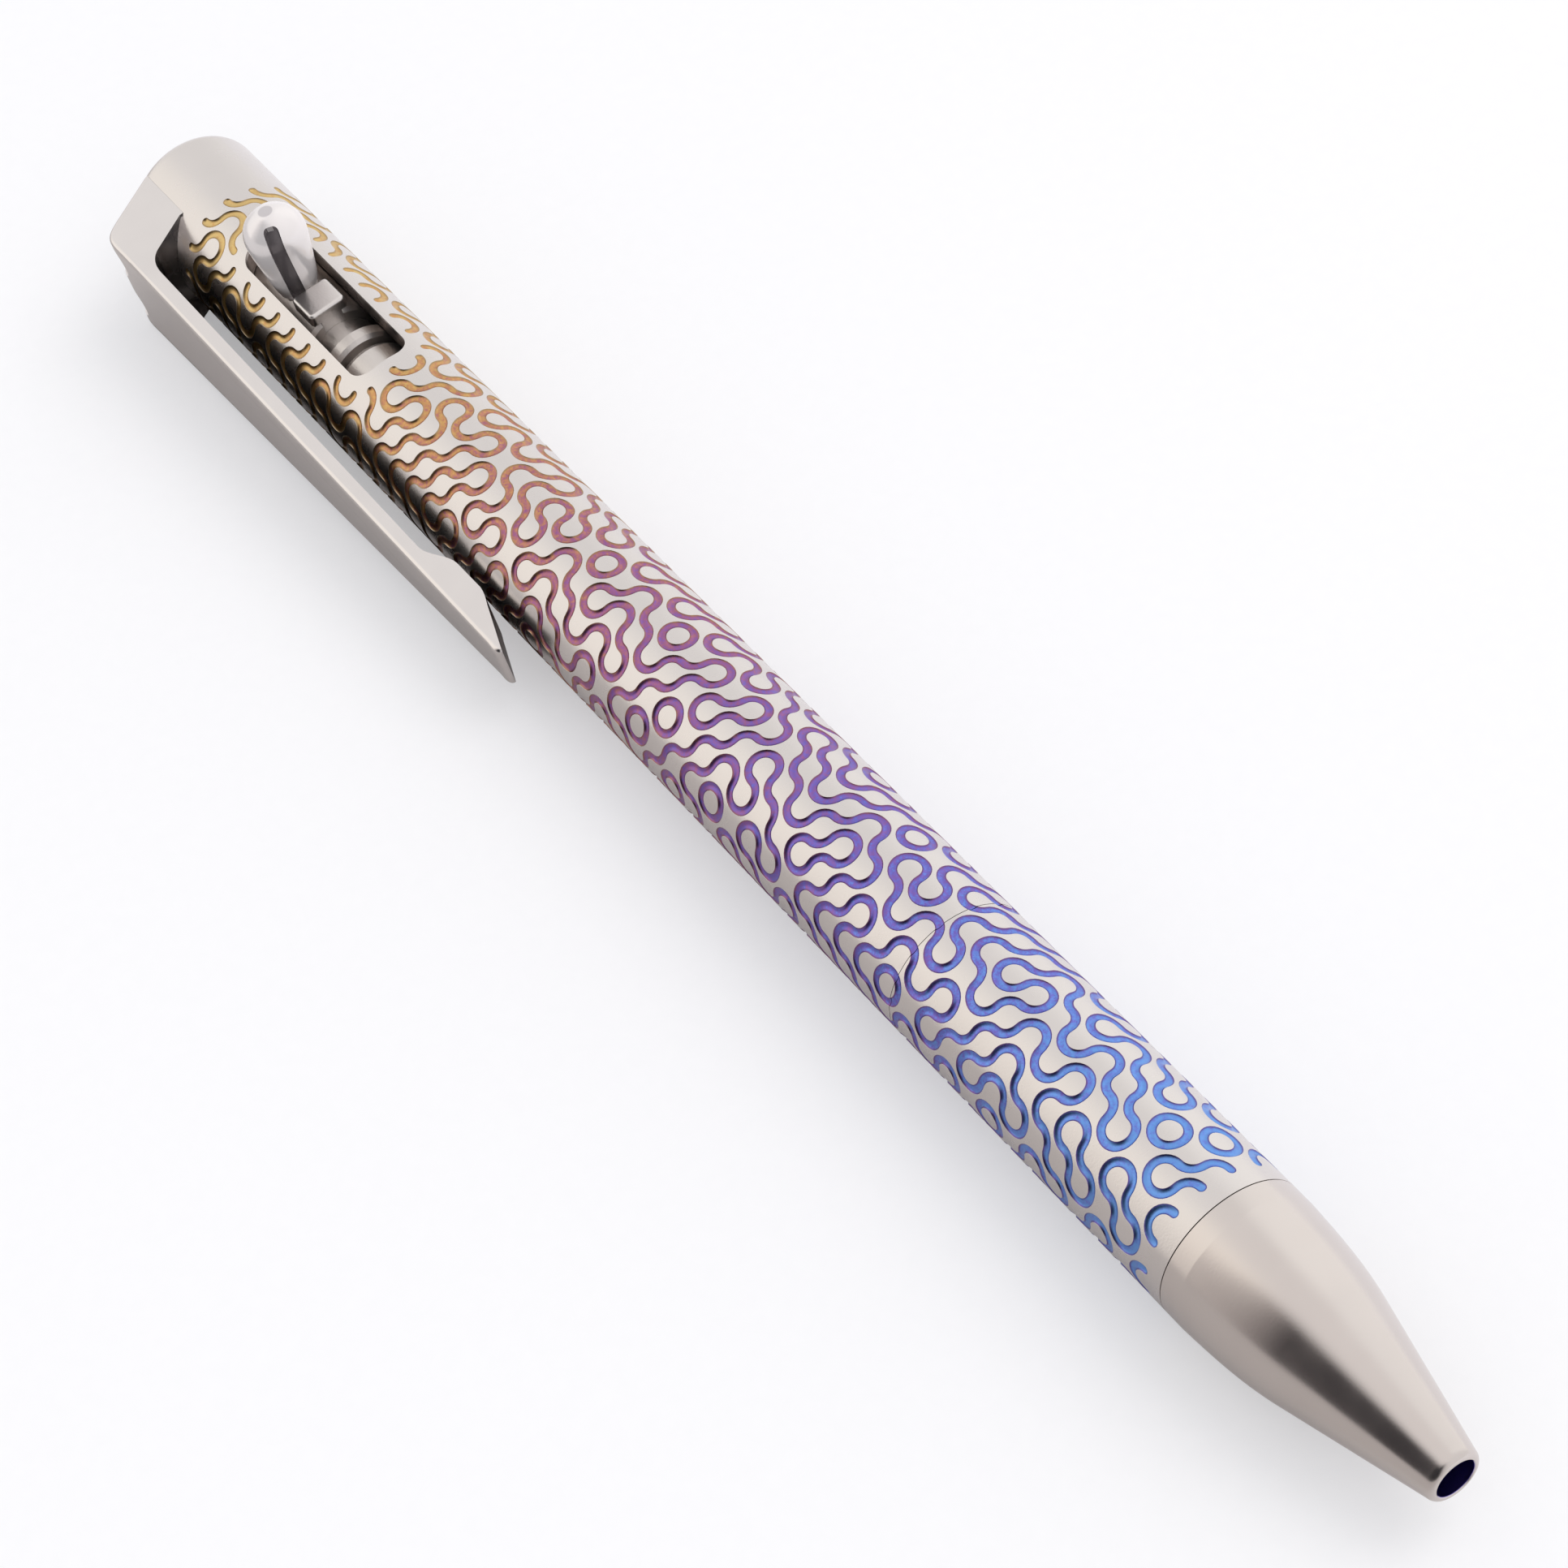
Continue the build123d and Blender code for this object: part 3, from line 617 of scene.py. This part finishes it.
def oxide_colour(spread, later):
    """Colour of the oxide at this station: the mottling and a thinner film move it along the series."""
    shift = anodised_nodes.new("ShaderNodeMath")
    shift.operation = "MULTIPLY_ADD"
    shift.inputs[1].default_value = spread
    shift.inputs[2].default_value = later - spread / 2
    anodised_links.new(mottle.outputs["Fac"], shift.inputs[0])
    bath = anodised_nodes.new("ShaderNodeMath")
    bath.operation = "SUBTRACT"
    anodised_links.new(shift.outputs[0], bath.inputs[0])
    anodised_links.new(along.outputs["X"], bath.inputs[1])
    share = anodised_nodes.new("ShaderNodeMath")
    share.operation = "DIVIDE"
    share.inputs[1].default_value = engraved_length
    anodised_links.new(bath.outputs[0], share.inputs[0])
    oxide = anodised_nodes.new("ShaderNodeValToRGB")
    oxide.color_ramp.elements.remove(oxide.color_ramp.elements[1])
    oxide.color_ramp.elements[0].position = oxide_stops[0][0]
    oxide.color_ramp.elements[0].color = (*oxide_stops[0][1], 1)
    for position, colour in oxide_stops[1:]:
        oxide.color_ramp.elements.new(position).color = (*colour, 1)
    anodised_links.new(share.outputs[0], oxide.inputs["Fac"])
    return oxide.outputs["Color"]


# Painted shade: near the lip the groove walls mix a purple-brown oxide with a dark painted shade; deeper
# down the oxide is plain.
groove_wall_painted_shade = (0.08, 0.04, 0.09, 1)
wall_shade_share = 0.4
deep = mask_step(anodised, groove_depth.outputs["Fac"], 0.03, 0.1)
wall_oxide_and_painted_shade = tint(anodised, wall_shade_share, oxide_colour(80, 22), groove_wall_painted_shade)
groove_oxide_and_wall_shade = tint(anodised, deep, wall_oxide_and_painted_shade, oxide_colour(120, 0))
in_groove = mask_step(anodised, groove_depth.outputs["Fac"], 0.002, 0.012)
# Painted shade: inside the tube, and on the window's cut faces, the metal is painted dark brown.
bore_painted_shade = mask_step(anodised, from_axis.outputs["Value"], 4.5, 4.4)
whole = tint(anodised, in_groove, bare_colour, groove_oxide_and_wall_shade)
whole = tint(anodised, bore_painted_shade, whole, (0.26, 0.22, 0.20, 1))
satin_roughness = anodised_surface.inputs["Roughness"].links[0].from_socket
matte = anodised_nodes.new("ShaderNodeMath")
matte.operation = "MULTIPLY_ADD"
matte.inputs[1].default_value = 0.08
anodised_links.new(in_groove, matte.inputs[0])
anodised_links.new(satin_roughness, matte.inputs[2])
anodised_links.new(matte.outputs[0], anodised_surface.inputs["Roughness"])
anodised_links.new(whole, anodised_surface.inputs["Base Color"])


def round_land(piece):
    """Give the land the true normals of the turned cylinder, and note how deep the grooves are."""
    mesh = piece.data
    depths = mesh.attributes.new("groove_depth", "FLOAT", "POINT").data
    for vertex, depth in zip(mesh.vertices, depths):
        below = barrel_radius - math.hypot(vertex.co.y, vertex.co.z)
        if 0.02 < below < 0.2 and -engraved_length < vertex.co.x < -1:
            depth.value = below
    on_land = [abs(math.hypot(vertex.co.y, vertex.co.z) - barrel_radius) < 2e-4 for vertex in mesh.vertices]
    normals = [(0, 0, 0)] * len(mesh.loops)
    for polygon in mesh.polygons:
        if all(on_land[index] for index in polygon.vertices):
            for loop, index in zip(polygon.loop_indices, polygon.vertices):
                place = mesh.vertices[index].co
                normals[loop] = Vector((0, place.y, place.z)).normalized()
    mesh.normals_split_custom_set(normals)


for piece, body, node in ((front_engraved, "pen", "front_barrel"), (rear_engraved, "pen", "rear_barrel")):
    smooth(piece, 28)
    round_land(piece)
    piece.data.materials.append(anodised)
    seat(piece, body, "barrel_titanium", node)

# ---------------------------------------------------------------------------------------------
# Nose cone. Turned titanium: a short straight land, a crisp shoulder, a long cone and a rounded rim
# at the writing hole. It screws into the front barrel with its own spigot.
# ---------------------------------------------------------------------------------------------
def turned(name, profile, steps=128, axis=(1, 0, 0)):
    """Turn a closed profile, each point a place along the axis and a radius, round the axis."""
    across = Vector((0, 0, 1)) if axis[0] else Vector((1, 0, 0))
    places = [Vector(axis) * along_axis + across * radius for along_axis, radius in profile]
    bpy.ops.object.select_all(action="DESELECT")
    bpy.ops.mesh.primitive_plane_add(size=1)
    piece = bpy.context.object
    piece.name = name
    bpy.ops.object.mode_set(mode="EDIT")
    bpy.ops.mesh.select_mode(type="VERT")
    bpy.ops.mesh.select_all(action="SELECT")
    bpy.ops.mesh.merge(type="CENTER")
    bpy.ops.transform.translate(value=places[0])
    for here, there in zip(places, places[1:]):
        bpy.ops.mesh.extrude_region_move(TRANSFORM_OT_translate={"value": there - here})
    bpy.ops.mesh.select_all(action="SELECT")
    bpy.ops.mesh.spin(steps=steps, angle=math.tau, center=(0, 0, 0), axis=axis)
    bpy.ops.mesh.select_all(action="SELECT")
    bpy.ops.mesh.remove_doubles(threshold=1e-4)
    bpy.ops.mesh.normals_make_consistent(inside=False)
    bpy.ops.object.mode_set(mode="OBJECT")
    return piece


nose_tip = (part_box("nose_cone")[1].x - front_high.x) / MM
shoulder = 1.4
cone_start = 8.1
cone_drop = 0.77
spring_seat = 12.8
rim_start = 17.6
rim_radius = 1.76
hole_radius = 1.25
spring_room = 2.15
refill_room = 3.02
refill_room_end = 9.0
nose_spigot_length = 7.0
nose_ring_groove = 0.38
nose_profile = [(0.0, barrel_radius - 0.05), (0.05, barrel_radius), (shoulder - 0.05, barrel_radius),
                (shoulder, barrel_radius), (shoulder + 0.05, barrel_radius - 0.0026)]
for step in range(1, 19):
    share = step / 18
    drop = cone_drop * (0.45 * share + 0.067 * share ** 2 + 0.483 * share ** 3)
    nose_profile.append((shoulder + (cone_start - shoulder) * share, barrel_radius - drop))
nose_profile += [(11, 3.302), (14, 2.601), (17.2, 1.853), (rim_start, rim_radius)]
for step in range(1, 7):
    angle = math.radians(15 + 75 * step / 6)
    nose_profile.append((rim_start - 0.1 + math.sin(angle) * (nose_tip - rim_start + 0.1),
                         1.36 + 0.41 * math.cos(angle)))
nose_profile += [(nose_tip, hole_radius + 0.06), (nose_tip - 0.06, hole_radius), (spring_seat, hole_radius),
                 (spring_seat, spring_room), (refill_room_end, spring_room), (refill_room_end, refill_room),
                 (-nose_spigot_length, refill_room), (-nose_spigot_length, spigot - spigot_chamfer),
                 (spigot_chamfer - nose_spigot_length, spigot),
                 (-2.0, spigot), (-2.0, spigot - nose_ring_groove), (-1.1, spigot - nose_ring_groove),
                 (-1.1, spigot), (0.0, spigot), nose_profile[0]]
nose = turned("nose_cone_turned", nose_profile)
smooth(nose, 32)
nose_metal = satin_metal("nose_titanium", (0.60, 0.555, 0.53), (0.645, 0.60, 0.575),
                         0.23, fineness=7, bump=0.003)
nose_nodes = nose_metal.node_tree.nodes
nose_links = nose_metal.node_tree.links
nose_surface = nose_nodes["Principled BSDF"]
nose_colour = nose_surface.inputs["Base Color"].links[0].from_socket
nose_split = nose_nodes.new("ShaderNodeSeparateXYZ")
nose_links.new(pen_space(nose_metal), nose_split.inputs["Vector"])
nose_across = nose_nodes.new("ShaderNodeCombineXYZ")
nose_links.new(nose_split.outputs["Y"], nose_across.inputs["Y"])
nose_links.new(nose_split.outputs["Z"], nose_across.inputs["Z"])
nose_radius = nose_nodes.new("ShaderNodeVectorMath")
nose_radius.operation = "LENGTH"
nose_links.new(nose_across.outputs["Vector"], nose_radius.inputs[0])
in_hole = mask_step(nose_metal, nose_radius.outputs["Value"], hole_radius + 0.03, hole_radius)
nose_links.new(tint(nose_metal, in_hole, nose_colour, (0.22, 0.17, 0.62, 1)),
               nose_surface.inputs["Base Color"])
nose.data.materials.append(nose_metal)
seat(nose, "pen", "nose_titanium", "nose_cone")

# ---------------------------------------------------------------------------------------------
# Knob. Turned titanium with a satin polish, narrower where it stands in the window, with a small flat on its
# crown that is painted darker as a painted reflection. A shallow straight slot runs down its side, its face
# painted near-black as a painted dark reflection.
# ---------------------------------------------------------------------------------------------
knob_profile = ((2.45, 1.35), (2.9, 1.35), (3.2, 1.45), (3.9, 1.6), (4.75, 1.72), (5.7, 1.87), (6.7, 2.02),
                (7.4, 2.095), (7.75, 2.11), (8.1, 2.085), (8.45, 2.0), (8.8, 1.83), (9.1, 1.6), (9.35, 1.33),
                (9.58, 1.0), (9.74, 0.75), (9.83, 0.53))
knob_station = 96.9
slot_turn = math.radians(-23)
slot_half = 0.5
slot_corner = 0.3
slot_depth = 1.15
slot_reach = 2 * slot_depth


def knob_shape(name, shrink):
    """The knob's body of revolution, or the same drawn in by a margin."""
    outline = [(height - (shrink if height > 8 else 0), radius - shrink) for height, radius in knob_profile]
    closed = [(outline[0][0], 0)] + outline + [(outline[-1][0], 0)]
    return turned(name, closed, 96, (0, 0, 1))


knob = knob_shape("knob_turned", 0)
bpy.ops.object.select_all(action="DESELECT")
bpy.ops.mesh.primitive_cube_add(size=1, location=(slot_reach, 0, 6.5))
slot_cutter = bpy.context.object
slot_cutter.scale = (slot_reach, 2 * slot_half, 8.5)
bpy.ops.object.transform_apply(location=True, scale=True)
bpy.ops.object.mode_set(mode="EDIT")
bpy.ops.mesh.select_mode(type="EDGE")
bpy.ops.mesh.select_all(action="DESELECT")
edit = bmesh.from_edit_mesh(slot_cutter.data)
for item in edit.edges:
    upright = abs(item.verts[0].co.z - item.verts[1].co.z) > 1
    item.select = upright and all(vertex.co.x < slot_reach for vertex in item.verts)
bmesh.update_edit_mesh(slot_cutter.data)
bpy.ops.mesh.bevel(offset=slot_corner, segments=5, affect="EDGES")
bpy.ops.object.mode_set(mode="OBJECT")
boolean(slot_cutter, knob_shape("knob_core", 0.22), "DIFFERENCE")
boolean(knob, slot_cutter, "DIFFERENCE")
knob.data.transform(Matrix.Translation((-knob_station, 0, 0)) @ Matrix.Rotation(slot_turn, 4, "Z"))
smooth(knob, 30)
knob_metal = satin_metal("knob_titanium", (0.78, 0.745, 0.74), (0.83, 0.79, 0.785),
                         0.22, fineness=6, bump=0.002)
knob_nodes = knob_metal.node_tree.nodes
knob_links = knob_metal.node_tree.links
knob_surface = knob_nodes["Principled BSDF"]
knob_surface.inputs["Metallic"].default_value = 0.35
knob_colour = knob_surface.inputs["Base Color"].links[0].from_socket
knob_place = knob_nodes.new("ShaderNodeMapping")
knob_place.vector_type = "TEXTURE"
knob_place.inputs["Location"].default_value = (-knob_station, 0, 0)
knob_place.inputs["Rotation"].default_value = (0, 0, slot_turn)
knob_links.new(pen_space(knob_metal), knob_place.inputs["Vector"])
knob_split = knob_nodes.new("ShaderNodeSeparateXYZ")
knob_links.new(knob_place.outputs["Vector"], knob_split.inputs["Vector"])
knob_width = knob_nodes.new("ShaderNodeMath")
knob_width.operation = "ABSOLUTE"
knob_links.new(knob_split.outputs["Y"], knob_width.inputs[0])
past_width = knob_nodes.new("ShaderNodeMath")
past_width.operation = "SUBTRACT"
past_width.inputs[1].default_value = slot_half - slot_corner
knob_links.new(knob_width.outputs[0], past_width.inputs[0])
past_depth = knob_nodes.new("ShaderNodeMath")
past_depth.operation = "SUBTRACT"
past_depth.inputs[0].default_value = slot_depth + slot_corner
knob_links.new(knob_split.outputs["X"], past_depth.inputs[1])
past_corner = knob_nodes.new("ShaderNodeCombineXYZ")
knob_links.new(past_width.outputs[0], past_corner.inputs["X"])
knob_links.new(past_depth.outputs[0], past_corner.inputs["Y"])
past_both = knob_nodes.new("ShaderNodeVectorMath")
past_both.operation = "MAXIMUM"
knob_links.new(past_corner.outputs["Vector"], past_both.inputs[0])
past_length = knob_nodes.new("ShaderNodeVectorMath")
past_length.operation = "LENGTH"
knob_links.new(past_both.outputs["Vector"], past_length.inputs[0])
# Painted reflection: the face of the slot is painted near-black, standing in for the dark reflection it
# shows.
slot_painted_reflection = mask_step(knob_metal, past_length.outputs["Value"], slot_corner + 0.002, slot_corner - 0.002)
knob_middle = knob_nodes.new("ShaderNodeCombineXYZ")
knob_links.new(knob_split.outputs["X"], knob_middle.inputs["X"])
knob_links.new(knob_split.outputs["Y"], knob_middle.inputs["Y"])
knob_reach = knob_nodes.new("ShaderNodeVectorMath")
knob_reach.operation = "LENGTH"
knob_links.new(knob_middle.outputs["Vector"], knob_reach.inputs[0])
# Painted reflection: the flat on top of the knob is painted darker than the rest of the knob.
flat_painted_reflection = mask_step(knob_metal, knob_reach.outputs["Value"], 0.53, 0.45)
crown = tint(knob_metal, flat_painted_reflection, knob_colour, (0.56, 0.53, 0.54, 1))
knob_links.new(tint(knob_metal, slot_painted_reflection, crown, (0.13, 0.115, 0.12, 1)), knob_surface.inputs["Base Color"])
knob.data.materials.append(knob_metal)
seat(knob, "bolt", "knob_titanium", "bolt_knob")

# ---------------------------------------------------------------------------------------------
# Clip. Cut from one titanium bar, saddle-shaped where it sits on the barrel, with its edges broken
# and its inner face toward the barrel painted near-black as painted shade and dark reflection. Two screws
# hold its root.
# ---------------------------------------------------------------------------------------------
def copied(name, node):
    """Copy of a CAD node with its loose triangles merged."""
    piece = bpy.data.objects.new(name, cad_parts[node].data.copy())
    bpy.context.scene.collection.objects.link(piece)
    piece.matrix_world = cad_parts[node].matrix_world.copy()
    bpy.ops.object.select_all(action="DESELECT")
    bpy.context.view_layer.objects.active = piece
    piece.select_set(True)
    bpy.ops.object.transform_apply(location=True, rotation=True, scale=True)
    bpy.ops.mesh.customdata_custom_splitnormals_clear()
    bpy.ops.object.mode_set(mode="EDIT")
    bpy.ops.mesh.select_all(action="SELECT")
    bpy.ops.mesh.remove_doubles(threshold=1e-6)
    bpy.ops.object.mode_set(mode="OBJECT")
    return piece


clip = copied("clip_finished", "clip")
bpy.ops.object.mode_set(mode="EDIT")
bpy.ops.mesh.select_all(action="SELECT")
bpy.ops.mesh.dissolve_limited(angle_limit=math.radians(1))
bpy.ops.object.mode_set(mode="OBJECT")
smooth(clip, 25)
broken = clip.modifiers.new("broken_edges", "BEVEL")
broken.width = 0.12 * MM
broken.segments = 3
broken.limit_method = "ANGLE"
broken.angle_limit = math.radians(25)
broken.harden_normals = True
bpy.context.view_layer.objects.active = clip
bpy.ops.object.modifier_apply(modifier="broken_edges")
clip_metal = satin_metal("clip_titanium", (0.66, 0.63, 0.62), (0.72, 0.69, 0.675),
                         0.22, fineness=6, bump=0.006)
clip_nodes = clip_metal.node_tree.nodes
clip_links = clip_metal.node_tree.links
clip_surface = clip_nodes["Principled BSDF"]
clip_colour = clip_surface.inputs["Base Color"].links[0].from_socket
clip_place = clip_nodes.new("ShaderNodeTexCoord")
clip_facing = clip_nodes.new("ShaderNodeVectorMath")
clip_facing.operation = "DOT_PRODUCT"
clip_facing.inputs[1].default_value = (0, math.cos(lean), math.sin(lean))
clip_links.new(clip_place.outputs["Normal"], clip_facing.inputs[0])
# Painted shade and dark reflection: faces turned toward the barrel are painted near-black.
clip_inner_painted_shade = mask_step(clip_metal, clip_facing.outputs["Value"], 0.5, 0.8)
clip_links.new(tint(clip_metal, clip_inner_painted_shade, clip_colour, (0.07, 0.058, 0.052, 1)),
               clip_surface.inputs["Base Color"])
clip.data.materials.clear()
clip.data.materials.append(clip_metal)
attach(clip, "pen")
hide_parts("clip")

# ---------------------------------------------------------------------------------------------
# Return spring. Coiled steel wire between the seat in the nose cone and the shoulder of the refill.
# In use it shortens against its seat as the refill comes forward; here it keeps its CAD length.
# ---------------------------------------------------------------------------------------------
return_coil = copied("return_coil", "return_spring")
smooth(return_coil, 50)
steel = satin_metal("screw_steel", (0.36, 0.36, 0.37), (0.46, 0.46, 0.47), 0.3)
return_coil.data.materials.clear()
return_coil.data.materials.append(steel)
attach(return_coil, "pen")
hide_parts("return_spring")
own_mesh(return_coil)

# ---------------------------------------------------------------------------------------------
# Screws, rings, bolt and refill. Small steel, titanium, rubber and brass pieces, most of them inside.
# They keep their CAD shape and take a finish each.
# ---------------------------------------------------------------------------------------------
key_metal = satin_metal("key_titanium", (0.66, 0.63, 0.615), (0.74, 0.71, 0.69), 0.3, fineness=6)
carrier_metal = satin_metal("carrier_titanium", (0.62, 0.585, 0.56), (0.68, 0.64, 0.615), 0.36, fineness=6)
refill_steel = satin_metal("refill_steel", (0.5, 0.5, 0.5), (0.58, 0.58, 0.58), 0.28)
rubber = satin_metal("ring_rubber", (0.045, 0.045, 0.045), (0.055, 0.055, 0.055), 0.6)
plastic = satin_metal("refill_plastic", (0.055, 0.075, 0.28), (0.065, 0.085, 0.32), 0.25)
ink = satin_metal("refill_ink", (0.018, 0.027, 0.18), (0.022, 0.033, 0.22), 0.2)
for unplated in (rubber, plastic, ink):
    unplated.node_tree.nodes["Principled BSDF"].inputs["Metallic"].default_value = 0
brass = satin_metal("tip_brass", (0.6, 0.48, 0.26), (0.68, 0.56, 0.32), 0.22)
finishes = {
    "clip_screw_upper": steel, "clip_screw_lower": steel,
    "barrel_o_ring": rubber, "nose_o_ring": rubber, "bolt_carrier": carrier_metal, "bolt_key": key_metal,
    "bolt_pusher": carrier_metal, "detent_ball": steel, "detent_spring": steel,
    "refill_tube": refill_steel, "refill_end_plug": plastic, "refill_tip": brass, "refill_ball": steel,
    "refill_ink": ink,
}
for node, finish in finishes.items():
    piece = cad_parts[node]
    piece.data.materials.clear()
    piece.data.materials.append(finish)
